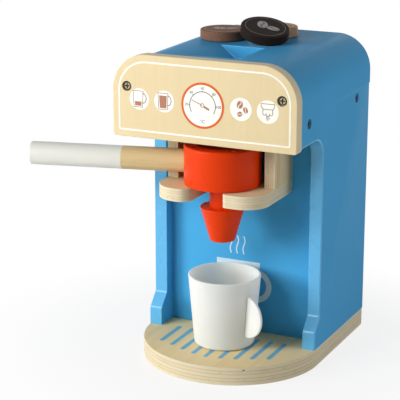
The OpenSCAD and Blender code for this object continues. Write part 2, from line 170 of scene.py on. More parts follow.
# Width of the rounding on the edges of each piece that has them eased, in mm
EASED = {
    "side_panel_left": 1.6,
    "side_panel_right": 1.6,
    "splash_panel": 0.4,
    "rear_panel": 0.5,
    "roof": 1.5,
    "front_panel": 0.9,
    "base_board": 1.2,
    "fork_plate": 1.0,
    "cheek_left": 0.6,
    "cheek_right": 0.6,
    "cup_ear": 1.2,
}
SHARP = math.radians(32)        # edges with a greater angle are eased
FLAT = math.radians(0.3)        # faces with a smaller angle become one
WELD = 0.004 * MM
ON_PLANE = 0.02 * MM
NORMAL_LEAST = 0.1              # part of a face's normal from which it looks that way

# Rims of screw holes, and then of cut-outs: their greatest span and their share of the rounding
HOLE_SPAN, HOLE_SHARE = 12 * MM, 0.12
CUT_OUT_SPAN, CUT_OUT_SHARE = 70 * MM, 0.35


# ---------------------------------------------------------------- camera, light, floor

def add_camera():
    data = bpy.data.cameras.new("camera")
    data.lens = CAMERA_LENS
    data.sensor_width = CAMERA_SENSOR
    camera = bpy.data.objects.new("camera", data)
    camera.location = Vector(CAMERA_PLACE) * MM
    camera.rotation_euler = (math.radians(90 - CAMERA_ELEVATION), 0, math.radians(CAMERA_AZIMUTH))
    bpy.context.scene.collection.objects.link(camera)
    bpy.context.scene.camera = camera


def add_softbox(name, azimuth, elevation, distance, size, watts):
    a, e = math.radians(azimuth), math.radians(elevation)
    away = Vector((math.sin(a) * math.cos(e), -math.cos(a) * math.cos(e), math.sin(e)))
    data = bpy.data.lights.new(name, "AREA")
    data.size = size
    data.energy = watts
    lamp = bpy.data.objects.new(name, data)
    lamp.location = LAMP_AIM + away * distance
    lamp.rotation_euler = away.to_track_quat("Z", "Y").to_euler()
    bpy.context.scene.collection.objects.link(lamp)


def seen_directly(tree):
    """1 for camera, glossy and transmission rays, else 0."""
    path = tree.nodes.new("ShaderNodeLightPath")
    seen = path.outputs["Is Camera Ray"]
    for ray in ("Is Glossy Ray", "Is Transmission Ray"):
        either = tree.nodes.new("ShaderNodeMath")
        either.operation = "MAXIMUM"
        tree.links.new(seen, either.inputs[0])
        tree.links.new(path.outputs[ray], either.inputs[1])
        seen = either.outputs[0]
    return seen


def add_world():
    """Plain white where it is seen, and a weak even light on everything."""
    world = bpy.data.worlds.new("studio")
    bpy.context.scene.world = world
    world.use_nodes = True
    tree = world.node_tree
    background = tree.nodes["Background"]
    background.inputs["Color"].default_value = (1, 1, 1, 1)
    level = tree.nodes.new("ShaderNodeMapRange")
    level.inputs["To Min"].default_value = AMBIENT
    level.inputs["To Max"].default_value = 1.0
    tree.links.new(seen_directly(tree), level.inputs["Value"])
    tree.links.new(level.outputs["Result"], background.inputs["Strength"])


def add_floor():
    """A wide white floor that keeps the machine's shadow, and fades to plain white further off."""
    half = FLOOR_HALF
    mesh = bpy.data.meshes.new("floor")
    mesh.from_pydata([(-half, -half, 0), (half, -half, 0), (half, half, 0), (-half, half, 0)],
                     [], [(0, 1, 2, 3)])
    floor = bpy.data.objects.new("floor", mesh)
    bpy.context.scene.collection.objects.link(floor)
    mesh.materials.append(floor_white())


def floor_white():
    material = bpy.data.materials.new("floor")
    material.use_nodes = True
    tree = material.node_tree
    link = tree.links.new
    tree.nodes.remove(tree.nodes["Principled BSDF"])
    diffuse = tree.nodes.new("ShaderNodeBsdfDiffuse")
    diffuse.inputs["Color"].default_value = (FLOOR_LEVEL, FLOOR_LEVEL, FLOOR_LEVEL, 1)
    glow = tree.nodes.new("ShaderNodeEmission")
    away = tree.nodes.new("ShaderNodeVectorMath")
    away.operation = "LENGTH"
    link(tree.nodes.new("ShaderNodeTexCoord").outputs["Object"], away.inputs[0])
    fade = tree.nodes.new("ShaderNodeMapRange")
    fade.interpolation_type = "SMOOTHSTEP"
    for socket, number in (("From Min", FADE_NEAR), ("From Max", FADE_FAR), ("To Min", WHITE_SHARE)):
        fade.inputs[socket].default_value = number
    link(away.outputs["Value"], fade.inputs["Value"])
    share = tree.nodes.new("ShaderNodeMath")
    share.operation = "MULTIPLY"
    link(seen_directly(tree), share.inputs[0])
    link(fade.outputs["Result"], share.inputs[1])
    mix = tree.nodes.new("ShaderNodeMixShader")
    link(share.outputs[0], mix.inputs[0])
    link(diffuse.outputs[0], mix.inputs[1])
    link(glow.outputs[0], mix.inputs[2])
    link(mix.outputs[0], tree.nodes["Material Output"].inputs["Surface"])
    return material


# ---------------------------------------------------------------- materials

class Shader:
    """A material under construction, with short calls for the nodes used here."""

    def __init__(self, name):
        self.material = bpy.data.materials.new(name)
        self.material.use_nodes = True
        self.nodes = self.material.node_tree.nodes
        self.links = self.material.node_tree.links
        self.surface = self.nodes["Principled BSDF"]
        coordinates = self.nodes.new("ShaderNodeTexCoord").outputs
        self.place = coordinates["Object"]
        self.normal = coordinates["Normal"]

    def _into(self, value, target):
        if isinstance(value, bpy.types.NodeSocket):
            self.links.new(value, target)
        else:
            target.default_value = value

    def set(self, socket, value):
        self._into(value, self.surface.inputs[socket])

    def math(self, operation, a, b=0.0):
        node = self.nodes.new("ShaderNodeMath")
        node.operation = operation
        self._into(a, node.inputs[0])
        self._into(b, node.inputs[1])
        return node.outputs[0]

    def mapped(self, scale, turn_z=0.0):
        """Object coordinates, turned about Z and then scaled along each axis."""
        turned = self.nodes.new("ShaderNodeMapping")
        turned.inputs["Rotation"].default_value = (0, 0, turn_z)
        self.links.new(self.place, turned.inputs["Vector"])
        scaled = self.nodes.new("ShaderNodeMapping")
        scaled.inputs["Scale"].default_value = scale
        self.links.new(turned.outputs[0], scaled.inputs["Vector"])
        return scaled.outputs[0]

    def axis(self, name, vector=None):
        split = self.nodes.new("ShaderNodeSeparateXYZ")
        self.links.new(vector or self.place, split.inputs[0])
        return split.outputs[name]

    def noise(self, scale, detail=3.0, place=None, distortion=0.0):
        node = self.nodes.new("ShaderNodeTexNoise")
        node.inputs["Scale"].default_value = scale
        node.inputs["Detail"].default_value = detail
        node.inputs["Distortion"].default_value = distortion
        self.links.new(place or self.place, node.inputs["Vector"])
        return node.outputs["Fac"]

    def ramp(self, value, stops):
        """stops: (position, colour) pairs."""
        node = self.nodes.new("ShaderNodeValToRGB")
        elements = node.color_ramp.elements
        while len(elements) < len(stops):
            elements.new(0.5)
        for element, (position, color) in zip(elements, stops):
            element.position = position
            element.color = color
        self.links.new(value, node.inputs["Fac"])
        return node.outputs["Color"]

    def range(self, value, lo, hi, to_lo, to_hi):
        node = self.nodes.new("ShaderNodeMapRange")
        self.links.new(value, node.inputs["Value"])
        settings = (("From Min", lo), ("From Max", hi), ("To Min", to_lo), ("To Max", to_hi))
        for socket, number in settings:
            node.inputs[socket].default_value = number
        return node.outputs["Result"]

    def mix(self, a, b, share):
        node = self.nodes.new("ShaderNodeMix")
        node.data_type = "RGBA"
        self._into(share, node.inputs[0])
        self._into(a, node.inputs[6])
        self._into(b, node.inputs[7])
        return node.outputs[2]

    def bump(self, height, distance, strength=1.0, under=None):
        node = self.nodes.new("ShaderNodeBump")
        node.inputs["Strength"].default_value = strength
        node.inputs["Distance"].default_value = distance
        self.links.new(height, node.inputs["Height"])
        if under is not None:
            self.links.new(under, node.inputs["Normal"])
        return node.outputs["Normal"]


def tone(color, factor):
    return tuple(min(1.0, c * factor) for c in color[:3]) + (1.0,)


def gloss_paint(name, color, roughness, gloss, grain):
    """Sprayed paint on wood: soft orange peel, faint grain under it and a little cloudiness."""
    s = Shader(name)
    clouds = s.noise(18, detail=2)
    base = s.mix(tone(color, 0.95), tone(color, 1.04), clouds)
    specks = s.range(s.noise(1400, detail=1), 0.72, 0.80, 0.0, 0.12)
    s.set("Base Color", s.mix(base, tone(color, 0.72), specks))
    s.set("Roughness", s.range(s.noise(40, detail=4), 0.3, 0.7, roughness - 0.04, roughness + 0.05))
    s.set("Specular IOR Level", gloss)
    waves = s.bump(s.noise(1.0, detail=3, place=s.mapped(grain)), 0.25 * MM, 0.35)
    s.set("Normal", s.bump(s.noise(700, detail=2), 0.02 * MM, 0.6, under=waves))
    return s.material


def grain_color(s, pale, dark, along, turn_z=0.0):
    """Wood grain: long streaks, fine fibres and a slow change of tone. along names the grain's axis.

    It returns the colour and the height of the grain.
    """
    stretch = {"X": (5, 150, 150), "Y": (150, 5, 150), "Z": (150, 150, 5)}[along]
    fine = tuple(4.0 * v for v in stretch)
    streaks = s.noise(1.0, detail=4, place=s.mapped(stretch, turn_z), distortion=0.6)
    fibres = s.noise(1.0, detail=3, place=s.mapped(fine, turn_z))
    slow = s.noise(14, detail=2)
    height = s.math("ADD", s.math("MULTIPLY", streaks, 0.5),
                    s.math("ADD", s.math("MULTIPLY", fibres, 0.3), s.math("MULTIPLY", slow, 0.2)))
    return s.ramp(height, [(0.34, dark), (0.50, tone(pale, 0.98)), (0.66, pale)]), height


def plywood(name, node, axis, plies, along, cross, face_wood=PLY_FACE, glue_share=0.7, pit=None):
    """Clear-lacquered plywood as a solid texture: its layers show wherever the thickness does.

    axis runs through the thickness of the board that is node, along is the face veneer's grain and
    cross the grain between. pit is the place, as (x, z), of a small void in the front edge of a ply,
    whose shade is painted.
    """
    lo, hi = (corner["XYZ".index(axis)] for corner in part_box(node))
    s = Shader(name)
    face, height = grain_color(s, *face_wood, along)
    facing = s.math("ABSOLUTE", s.axis(axis, s.normal))
    face = s.mix(PLY_RIM, face, s.range(facing, 0.5, 0.8, 0.0, 1.0))
    core, _ = grain_color(s, tone(PLY_END, 1.12), tone(PLY_END, 0.84), cross)

    # Every second ply shows its end grain, and thin broken lines of glue lie between the plies
    wobble = s.math("MULTIPLY", s.math("SUBTRACT", s.noise(60, detail=2), 0.5), PLY_WAVER)
    layer = s.range(s.math("ADD", s.axis(axis), wobble), lo, hi, 0.0, float(plies))
    odd = s.math("GREATER_THAN", s.math("FRACT", s.math("MULTIPLY", layer, 0.5)), 0.5)
    wood = s.mix(face, core, s.math("MULTIPLY", odd, CORE_SHARE))
    edge = s.math("ABSOLUTE", s.math("SUBTRACT", s.math("FRACT", layer), 0.5))
    inside = s.math("MULTIPLY", s.math("GREATER_THAN", layer, GLUE_MARGIN),
                    s.math("LESS_THAN", layer, plies - GLUE_MARGIN))
    glue = s.math("MULTIPLY", s.range(edge, GLUE_FROM, GLUE_TO, 0.0, glue_share), inside)
    wood = s.mix(wood, PLY_GLUE, glue)
    pores = s.math("MULTIPLY", s.range(s.noise(700, detail=2), 0.66, 0.74, 0.0, 0.5), odd)
    wood = s.mix(wood, tone(PLY_GLUE, 0.8), pores)
    # painted shade: the void is a dark oval of colour on the flat edge
    if pit:
        wood = s.mix(wood, PIT_PAINTED_SHADE, pit_share(s, *pit))
    s.set("Base Color", wood)
    s.set("Roughness", s.range(height, 0.3, 0.7, 0.56, 0.44))
    s.set("Specular IOR Level", 0.2)
    s.set("Normal", s.bump(height, 0.06 * MM, 0.5))
    return s.material


def pit_share(s, x, z):
    """1 in a flat oval round the point on the front of the board, fading to 0 outside it."""
    dx = s.math("SUBTRACT", s.axis("X"), x)
    dz = s.math("MULTIPLY", s.math("SUBTRACT", s.axis("Z"), z), 2.0)
    away = s.math("SQRT", s.math("ADD", s.math("MULTIPLY", dx, dx), s.math("MULTIPLY", dz, dz)))
    return s.math("MULTIPLY", s.range(away, PIT_CORE, PIT_RIM, 1.0, 0.0),
                  s.math("LESS_THAN", s.axis("Y"), 0.0))


def turned_beech():
    s = Shader("beech")
    color, height = grain_color(s, *PIN_BEECH, "Z")
    s.set("Base Color", color)
    s.set("Roughness", 0.42)
    s.set("Specular IOR Level", 0.2)
    s.set("Normal", s.bump(height, 0.05 * MM, 0.4))
    return s.material


def handle_wood():
    """The handle's dowel: bare beech near the puck, white paint on the grip."""
    s = Shader("handle_dowel")
    color, height = grain_color(s, *HANDLE_BEECH, "X", -HANDLE_ANGLE)
    along = s.math("ADD",
                   s.math("MULTIPLY", s.axis("X"), -math.cos(HANDLE_ANGLE)),
                   s.math("MULTIPLY", s.math("SUBTRACT", s.axis("Y"), puck_middle.y),
                          -math.sin(HANDLE_ANGLE)))
    ragged = s.math("MULTIPLY", s.math("SUBTRACT", s.noise(500, detail=2), 0.5), GRIP_RAGGED)
    edge = s.math("ADD", along, ragged)
    painted = s.range(edge, GRIP_START, GRIP_START + GRIP_FADE, 0.0, 1.0)
    white = s.mix(*GRIP_WHITES, s.noise(25, detail=2))
    s.set("Base Color", s.mix(color, white, painted))
    s.set("Roughness", s.range(painted, 0.0, 1.0, 0.44, 0.36))
    s.set("Specular IOR Level", 0.2)
    peel = s.bump(s.noise(600, detail=2), 0.02 * MM, 0.5)
    relief = s.math("ADD", s.math("MULTIPLY", height, 0.3), painted)
    s.set("Normal", s.bump(relief, 0.08 * MM, 0.5, under=peel))
    return s.material


def cup_white():
    """Thick satin white paint that lets a little light through, with faint turning rings."""
    s = Shader("cup_white")
    s.set("Base Color", s.mix(*CUP_WHITES, s.noise(30, detail=3)))
    s.set("Roughness", s.range(s.noise(80, detail=3), 0.3, 0.7, 0.40, 0.50))
    s.set("Specular IOR Level", 0.2)
    s.set("Subsurface Weight", 0.6)
    s.set("Subsurface Radius", (1.0, 0.95, 0.85))
    s.set("Subsurface Scale", 9 * MM)
    rings = s.noise(1.0, detail=2, place=s.mapped((20, 20, 500)))
    turned = s.bump(rings, 0.02 * MM, 0.35)
    s.set("Normal", s.bump(s.noise(800, detail=2), 0.015 * MM, 0.5, under=turned))
    return s.material


def stained_board(name, color):
    """Stained fibre board: fine fibre flecks in the stain, slightly uneven sheen."""
    s = Shader(name)
    flecks = s.noise(500, detail=4)
    cloud = s.noise(60, detail=3)
    base = s.mix(tone(color, 0.82), tone(color, 1.2), cloud)
    s.set("Base Color", s.mix(base, tone(color, 1.7), s.range(flecks, 0.56, 0.75, 0.0, 0.5)))
    s.set("Roughness", s.range(flecks, 0.3, 0.7, 0.42, 0.58))
    s.set("Specular IOR Level", 0.03)
    s.set("Normal", s.bump(flecks, 0.05 * MM, 0.5))
    return s.material


def steel(name, color, roughness):
    s = Shader(name)
    s.set("Base Color", s.mix(tone(color, 0.8), tone(color, 1.15), s.noise(900, detail=3)))
    s.set("Metallic", 1.0)
    s.set("Roughness", s.range(s.noise(1500, detail=2), 0.3, 0.7, roughness - 0.06, roughness + 0.1))
    s.set("Normal", s.bump(s.noise(2500, detail=2), 0.01 * MM, 0.5))
    return s.material


def antique_screw(face_y):
    """A brass-like head whose cross recess is painted dark below the face, as painted shade."""
    s = Shader("antique_screws")
    head = s.mix(BRASS_DARK, BRASS_PALE, s.noise(900, detail=3))
    # painted shade: darker and less metallic deeper in the cross recess
    recess_shade = s.range(s.axis("Y"), face_y + RECESS_FROM, face_y + RECESS_TO, 0.0, 1.0)
    s.set("Base Color", s.mix(head, RECESS_PAINTED_SHADE, recess_shade))
    s.set("Metallic", s.range(recess_shade, 0.0, 1.0, 1.0, 0.2))
    s.set("Roughness", s.range(s.noise(1500, detail=2), 0.3, 0.7, 0.3, 0.46))
    s.set("Normal", s.bump(s.noise(2500, detail=2), 0.01 * MM, 0.5))
    return s.material


def print_ink(name, color, cover=1.0, under=None):
    """Screen-printed ink. Where it is thin, it covers only a share of the colour under it."""
    s = Shader(name)
    base = s.mix(tone(color, 0.95), tone(color, 1.03), s.noise(400, detail=3))
    if under is not None:
        thin = s.range(s.noise(1.0, detail=3, place=s.mapped((900, 900, 60))), 0.5, 0.8, 1.0, cover)
        base = s.mix(under, base, thin)
    s.set("Base Color", base)
    s.set("Roughness", 0.45)
    s.set("Specular IOR Level", 0.15)
    s.set("Normal", s.bump(s.noise(1200, detail=2), 0.01 * MM, 0.4))
    return s.material


# ---------------------------------------------------------------- boards with eased edges

def edge_islands(edges):
    """Groups of edges that meet, each with the largest side of its box."""
    left = set(edges)
    while left:
        island, queue = [], [left.pop()]
        while queue:
            edge = queue.pop()
            island.append(edge)
            for vert in edge.verts:
                near = [e for e in vert.link_edges if e in left]
                left.difference_update(near)
                queue.extend(near)
        points = [v.co for e in island for v in e.verts]
        yield island, max(max(p[i] for p in points) - min(p[i] for p in points) for i in range(3))


def on_plane(edge, planes):
    return any(all(abs(v.co[axis] - value) < ON_PLANE for v in edge.verts) for axis, value in planes)


def rounding_share(span):
    if span < HOLE_SPAN:
        return HOLE_SHARE
    return CUT_OUT_SHARE if span < CUT_OUT_SPAN else 1.0


def softened(node, body="machine", joined=()):
    """A copy of a CAD piece with eased edges, which stands for it.

    joined lists the planes, as (axis, value), where the board meets its neighbour and stays sharp.
    """
    mesh = nodes[node].data.copy()
    mesh.name = node + "_eased"
    piece = bpy.data.objects.new(node + "_eased", mesh)
    bpy.context.scene.collection.objects.link(piece)
    bm = bmesh.new()
    bm.from_mesh(mesh)
    bmesh.ops.remove_doubles(bm, verts=bm.verts, dist=WELD)
    bmesh.ops.dissolve_limit(bm, angle_limit=FLAT, verts=bm.verts, edges=bm.edges)
    weights = bm.edges.layers.float.new("bevel_weight_edge")
    sharp = {e for e in bm.edges if len(e.link_faces) == 2 and e.calc_face_angle(0) > SHARP}
    for island, span in edge_islands(sharp):
        for edge in island:
            edge[weights] = 0.0 if on_plane(edge, joined) else rounding_share(span)
    for face in bm.faces:
        face.smooth = True
    for edge in bm.edges:
        edge.smooth = edge not in sharp
    bm.to_mesh(mesh)
    bm.free()
    bevel = piece.modifiers.new("eased edges", "BEVEL")
    bevel.limit_method = "WEIGHT"
    bevel.width = EASED[node] * MM
    bevel.segments = 4
    bevel.harden_normals = True
    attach(piece, body)
    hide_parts(node)
    slot_of(node)
    return piece


def slot_of(node):
    return next(row["material_slot"] for row in frame["record"]["subparts"] if row["node"] == node)


def finish_with(piece, *materials):
    piece.data.materials.clear()
    for material in materials:
        piece.data.materials.append(material)


def painted_board(node, paint, gloss_and_highlight_paint, joined):
    """A painted board, whose eased edges have a glossier finish, lighter as a painted highlight."""
    piece = softened(node, joined=joined)
    piece.modifiers["eased edges"].material = 1
    finish_with(piece, paint, gloss_and_highlight_paint)
    return piece


def gloss_front(piece):
    """The glossier, lighter second finish (a painted highlight) on a side panel's narrow forward faces
    and foot's bends.
    """
    for face in piece.data.polygons:
        sideways, forward = abs(face.normal.x), -face.normal.y
        face.material_index = int(sideways < NORMAL_LEAST < forward)


# ---------------------------------------------------------------- printed signs

# Prints are thin layers of paint, drawn in mm on the plane that carries them
PRINT_T = 0.10 * MM
THIN_T = PRINT_T * 0.5
RING_T = PRINT_T * 1.2
TAIL_T = PRINT_T * 0.6
SLIT_LIFT = PRINT_T * 1.5
PRINT_WELD = 0.001 * MM
ROUND_POINTS = 72
CAP_STEPS = 8
MITRE_LEAST = 0.5       # limits how far a band's corner reaches out
FIGURE_SHARE = 0.72     # height of a figure as a share of its font's size

# A bean's slit, as shares of the bean: its length, the height of its wave, and its width
SLIT_SPAN, SLIT_WAVE, SLIT_W = 0.86, 0.30, 0.22
SLIT_STEPS = 14

# Front panel, from its middle and its lower edge
BORDER_INSET, BORDER_W = 5.9, 1.3
BORDER_TOP_R, BORDER_FOOT_R = 29.5, 1.0
LINE_W = 0.5
ICON_Y = 31.2
ICON_X = (-54.6, -32.9, 32.1, 54.3)
ICON_R = (8.5, 8.6, 9.0, 9.0)
MUG_LEVELS = (0.32, 0.92)
ICON_BEANS = ((-0.8, 3.5, 3.2, 2.5, 75), (3.9, -0.4, 2.6, 1.9, 115), (-0.9, -3.8, 2.3, 1.9, 30))

# The mug icon: widths at its top and foot, height, wall round the drink, and reach to the left.
# The drink's foot and greatest height, and the grip's middle and half height, are shares of its height
MUG_TOP_W, MUG_FOOT_W, MUG_H = 8.8, 7.4, 12.8
MUG_WALL = 1.0
MUG_LEFT = 5.4
DRINK_LOW, DRINK_SPAN = 0.08, 0.84
GRIP_AT, GRIP_SPAN = 0.56, 0.30
GRIP_REACH, GRIP_W = 3.0, LINE_W * 1.3

# The drip icon: half widths of its lip and body, and heights from its middle
LIP_W, LIP_TOP, LIP_LOW = 5.5, 6.2, 3.9
SPOUT_W, SPOUT_TOP, SPOUT_LOW = 4.0, 2.0, -1.2
SCALLOP_R, SCALLOP_PITCH, SCALLOP_DROP = 1.35, 2.7, 0.8
DRIP_TOP, DRIPS = -3.4, ((-1.1, 2.2), (0.0, 3.2), (1.1, 2.2))

# The gauge: ring, its lap over the white ground, numbered arc and needle
GAUGE_Y = 30.9
GAUGE_R = 18.1
GAUGE_RING = 1.8
RING_LAP = 0.1
SCALE_R = 10.9
SCALE_W = 0.55
SCALE_FROM, SCALE_TO = 209, -30
NUMBERS = range(20, 101, 20)
NUMBER_R = 13.6
NUMBER_H = 2.1
TICK_IN, TICK_OUT, TICK_W = 0.1, 1.0, 0.5
UNIT_DROP, UNIT_H = 12.6, 2.6
HUB = (-0.3, 0.3)
HUB_R, HUB_BORE = 1.8, 1.25
NEEDLE_TIP, NEEDLE_W = (-9.1, 3.7), 0.6
TAIL_FROM, TAIL_TO, TAIL_W = (1.2, -0.6), (5.6, -2.8), 1.6

# Drip stripes on the base board: pitch, width, back ends, and the front ends as in the photograph
STRIPE_PITCH = 12.0
STRIPE_W = 3.8
STRIPE_BACK = -20.0
STRIPE_FRONTS = (-57.0, -62.3, -67.6, -71.9, -74.0, -72.2, -68.6, -62.9, -57.1)

# Steam and a big mug on the splash panel, from its middle and the floor
STEAM_X = (-9.1, -3.4, 2.5)
STEAM_Z, STEAM_H, STEAM_WAVE, STEAM_W = 81.6, 15.0, 0.9, 0.95
STEAM_STEPS = 20
BIG_MUG_TOP = ((-22.4, 75.6), (17.1, 75.6))
BIG_MUG_SIDES = ((-20.4, 36.0), (15.4, 36.0))
CORNER_X, CORNER_Z, CORNER_R = (-17.4, 12.4), 34.0, 3.0
EAR_MIDDLE, EAR_R, EAR_W = (13.0, 55.2), 12.4, 4.7
EAR_FROM, EAR_TO = 78, -84

# Coffee discs: node, body, ink, ink of the rim line, lean and turn of the print
DISC_LEAN = 16.5
DISC_LEAN_TOWARDS = math.radians(-43.5)
DISC_SIGNS = (("disc_dark", "dark_disc", "pale", "ash", DISC_LEAN, 0),
              ("disc_brown", "brown_disc", "fawn", "fawn", 0.0, 32),
              ("disc_tan", "tan_disc", "cream", "cream", 0.0, -70))
DISC_LINE_R = (16.6, 16.1)
DISC_BEANS = ((-3.6, 2.2, 6.5, 4.3, 114), (6.3, 0.7, 5.7, 3.4, 0))


def circle(x, y, r, a0=0.0, a1=360.0, points=ROUND_POINTS):
    """Points of an arc in mm, whose last point is left out where it closes."""
    closed = abs(a1 - a0) >= 360
    steps = max(3, int(points * abs(a1 - a0) / 360))
    count = steps if closed else steps + 1
    turns = [math.radians(a0 + (a1 - a0) * i / steps) for i in range(count)]
    return [(x + r * math.cos(a), y + r * math.sin(a)) for a in turns]


def turned_about(points, x, y, turn):
    """Points turned by degrees and then moved to a centre."""
    c, s = math.cos(math.radians(turn)), math.sin(math.radians(turn))
    return [(x + u * c - v * s, y + u * s + v * c) for u, v in points]


class Sign:
    """Flat shapes in mm on a plane, made into one thin layer of paint."""

    def __init__(self, name, origin, right, up, lift=0.0):
        self.name = name
        right, up = Vector(right).normalized(), Vector(up).normalized()
        normal = right.cross(up)
        self.matrix = Matrix((right, up, normal)).transposed().to_4x4()
        self.matrix.translation = Vector(origin) + normal * lift
        self.bm = bmesh.new()

    def area(self, outline):
        self.bm.faces.new([self.bm.verts.new((x * MM, y * MM, 0)) for x, y in outline])

    def ring(self, outer, inner):
        """The band between two closed outlines with as many points each."""
        rows = [[self.bm.verts.new((x * MM, y * MM, 0)) for x, y in row] for row in (outer, inner)]
        for i in range(len(outer)):
            j = (i + 1) % len(outer)
            self.bm.faces.new((rows[0][i], rows[0][j], rows[1][j], rows[1][i]))

    def line(self, points, width, closed=False, round_ends=True):
        """A band of even width along the points."""
        path = [Vector(p) for p in points]
        count = len(path)
        sides = []
        for i, point in enumerate(path):
            before = path[i - 1] if closed or i else path[i]
            after = path[(i + 1) % count] if closed or i < count - 1 else path[i]
            d_in = (point - before).normalized() if point != before else (after - point).normalized()
            d_out = (after - point).normalized() if point != after else d_in
            across = Vector((-d_in.y, d_in.x))
            normal = (across + Vector((-d_out.y, d_out.x))).normalized()
            reach = width / 2 / max(MITRE_LEAST, normal.dot(across))
            sides.append((point + normal * reach, point - normal * reach))
        if closed:
            self.ring([side[0] for side in sides], [side[1] for side in sides])
            return
        for (a, b), (c, d) in zip(sides, sides[1:]):
            self.area([a, b, d, c])
        if round_ends:
            self.cap(path[0], path[1], width)
            self.cap(path[-1], path[-2], width)

    def cap(self, tip, inner, width):
        """A half disc on a band's end, on the side away from inner."""
        out = (tip - inner).normalized()
        start = math.atan2(out.y, out.x) - math.pi / 2
        turns = [start + math.pi * k / CAP_STEPS for k in range(CAP_STEPS + 1)]
        self.area([tip + Vector((math.cos(a), math.sin(a))) * width / 2 for a in turns])

    def figures(self, text, x, y, height):
        """Plain figures, centred on a point."""
        data = bpy.data.curves.new("figures", "FONT")
        data.body = text
        data.size = height * MM / FIGURE_SHARE
        data.align_x = "CENTER"
        data.align_y = "CENTER"
        holder = bpy.data.objects.new("figures", data)
        bpy.context.scene.collection.objects.link(holder)
        bpy.context.view_layer.update()
        shaped = holder.evaluated_get(bpy.context.evaluated_depsgraph_get())
        mesh = bpy.data.meshes.new_from_object(shaped)
        mesh.transform(Matrix.Translation((x * MM, y * MM, 0)))
        self.bm.from_mesh(mesh)
        bpy.data.objects.remove(holder)
        bpy.data.curves.remove(data)
        bpy.data.meshes.remove(mesh)

    def done(self, material, body="machine", thickness=PRINT_T):
        """Thickens the shapes into a piece that rides on the body."""
        bm = self.bm
        bmesh.ops.remove_doubles(bm, verts=bm.verts, dist=PRINT_WELD)
        bmesh.ops.recalc_face_normals(bm, faces=bm.faces)
        for face in bm.faces:
            if face.normal.z < 0:
                face.normal_flip()
        top = bmesh.ops.extrude_face_region(bm, geom=bm.faces[:], use_keep_orig=True)
        lifted = [g for g in top["geom"] if isinstance(g, bmesh.types.BMVert)]
        bmesh.ops.translate(bm, verts=lifted, vec=(0, 0, thickness))
        bmesh.ops.recalc_face_normals(bm, faces=bm.faces)
        mesh = bpy.data.meshes.new(self.name)
        bm.transform(self.matrix)
        bm.to_mesh(mesh)
        bm.free()
        piece = bpy.data.objects.new(self.name, mesh)
        bpy.context.scene.collection.objects.link(piece)
        mesh.materials.append(material)
        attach(piece, body)


def inset_arch(w, h, top_r, foot_r, inset):
    """The front panel's outline moved inwards, from its lower left corner round to the right."""
    x, y0, y1 = w / 2 - inset, inset, h - inset
    r, f = top_r - inset, foot_r
    return (circle(-x + f, y0 + f, f, 180, 270, 40) + circle(x - f, y0 + f, f, 270, 360, 40)
            + circle(x - r, y1 - r, r, 0, 90, 120) + circle(-x + r, y1 - r, r, 90, 180, 120))


def bean(sign, slit, x, y, rx, ry, turn):
    """A coffee bean with its wavy slit."""
    oval = [(rx * u, ry * v) for u, v in circle(0, 0, 1, points=40)]
    sign.area(turned_about(oval, x, y, turn))
    shares = [i / SLIT_STEPS for i in range(SLIT_STEPS + 1)]
    wave = [(rx * SLIT_SPAN * (2 * t - 1), ry * SLIT_WAVE * math.sin(2 * math.pi * t)) for t in shares]
    slit.line(turned_about(wave, x, y, turn), ry * SLIT_W)


def mug_icon(lines, fill, x, y, level):
    """A mug in outline with a handle on its right, filled up to a share of its height."""
    low, left = y - MUG_H / 2, x - MUG_LEFT

    def side(share):
        """The mug's left and right edge at a share of its height."""
        inset = (MUG_TOP_W - MUG_FOOT_W) / 2 * (1 - share)
        return left + inset, left + MUG_TOP_W - inset

    def level_line(share, wall=0.0):
        """Two points, inside the walls at a share of the height."""
        edge_left, edge_right = side(share)
        return [(edge_left + wall, low + share * MUG_H), (edge_right - wall, low + share * MUG_H)]

    lines.line(level_line(0) + level_line(1)[::-1], LINE_W, closed=True)
    grip_x, grip_y = side(0.5)[1], low + GRIP_AT * MUG_H
    arc = circle(0, 0, 1, 92, -96, 40)
    lines.line([(grip_x + GRIP_REACH * u, grip_y + GRIP_SPAN * MUG_H * v) for u, v in arc], GRIP_W)
    drink = DRINK_LOW + DRINK_SPAN * level
    fill.area(level_line(DRINK_LOW, MUG_WALL) + level_line(drink, MUG_WALL)[::-1])


def drip_icon(lines, x, y):
    """A spout in outline: a wide lip, a round body and three drips."""
    lines.line([(x - LIP_W, y + LIP_TOP), (x + LIP_W, y + LIP_TOP), (x + LIP_W, y + LIP_LOW),
                (x + SPOUT_W, y + SPOUT_TOP), (x - SPOUT_W, y + SPOUT_TOP), (x - LIP_W, y + LIP_LOW)],
               LINE_W, closed=True)
    scallops = [(x - SPOUT_W, y + SPOUT_TOP)]
    for middle in (-SCALLOP_PITCH, 0.0, SCALLOP_PITCH):
        low = SPOUT_LOW - (SCALLOP_DROP if middle == 0 else 0)
        scallops += circle(x + middle, y + low, SCALLOP_R, 180, 360, 24)
    lines.line(scallops + [(x + SPOUT_W, y + SPOUT_TOP)], LINE_W)
    for aside, length in DRIPS:
        lines.line([(x + aside, y + DRIP_TOP), (x + aside, y + DRIP_TOP - length)], LINE_W)


def panel_prints(inks):
    """Border line, four round icons and the temperature gauge on the front panel."""
    plane = dict(origin=(0, panel_lo.y, panel_lo.z), right=(1, 0, 0), up=(0, 0, 1))
    w, h = (panel_hi.x - panel_lo.x) / MM, (panel_hi.z - panel_lo.z) / MM
    border = Sign("panel_border", **plane)
    border.line(inset_arch(w, h, BORDER_TOP_R, BORDER_FOOT_R, BORDER_INSET), BORDER_W, closed=True)
    border.done(inks["white"])

    grounds = Sign("icon_grounds", **plane)
    for x, r in zip(ICON_X, ICON_R):
        grounds.area(circle(x, ICON_Y, r))
    grounds.area(circle(0, GAUGE_Y, GAUGE_R - GAUGE_RING + RING_LAP))
    grounds.done(inks["white"])
    ring = Sign("gauge_ring", **plane)
    ring.ring(circle(0, GAUGE_Y, GAUGE_R), circle(0, GAUGE_Y, GAUGE_R - GAUGE_RING))
    ring.done(inks["orange"], thickness=RING_T)

    icon_prints(inks, plane)
    gauge_prints(inks, plane)


